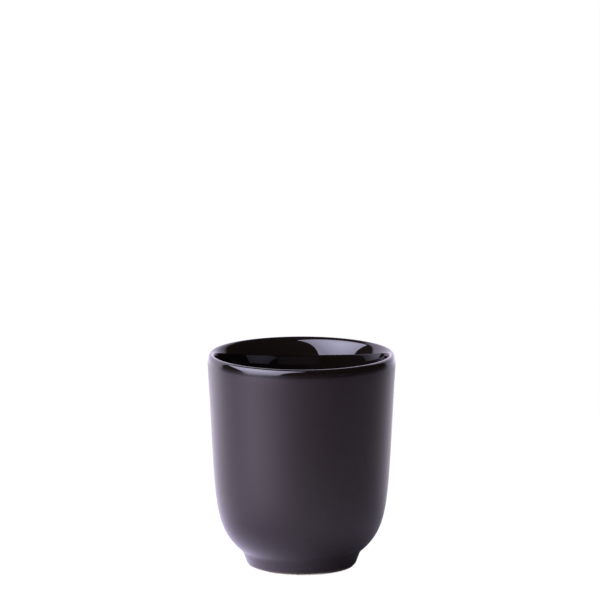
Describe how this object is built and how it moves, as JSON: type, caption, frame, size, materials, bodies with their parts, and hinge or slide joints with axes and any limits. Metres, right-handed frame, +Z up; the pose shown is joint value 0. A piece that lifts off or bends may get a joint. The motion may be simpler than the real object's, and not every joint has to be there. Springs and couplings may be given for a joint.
{
  "type": "mocha cup",
  "caption": "Small handleless stoneware cup on a tapered foot ring, satin black glaze outside, gloss black liner glaze rolled over the lip, bare clay standing ring.",
  "frame": {"origin": "centre of the plane that the foot ring stands on", "axes": "+Z up along the cup's axis of turning; X and Y are free, because the cup is round"},
  "size_m": [0.061, 0.061, 0.07],
  "materials": {
    "bare_stoneware": "fired pale stoneware clay, unglazed, fine grit",
    "gloss_black_glaze": "gloss black glaze",
    "satin_black_glaze": "satin purplish black glaze with fine crystals"
  },
  "bodies": {
    "root": {"clay_body": "bare_stoneware", "liner_glaze": "gloss_black_glaze", "outer_glaze": "satin_black_glaze", "base_glaze": "satin_black_glaze"}
  },
  "joints": []
}
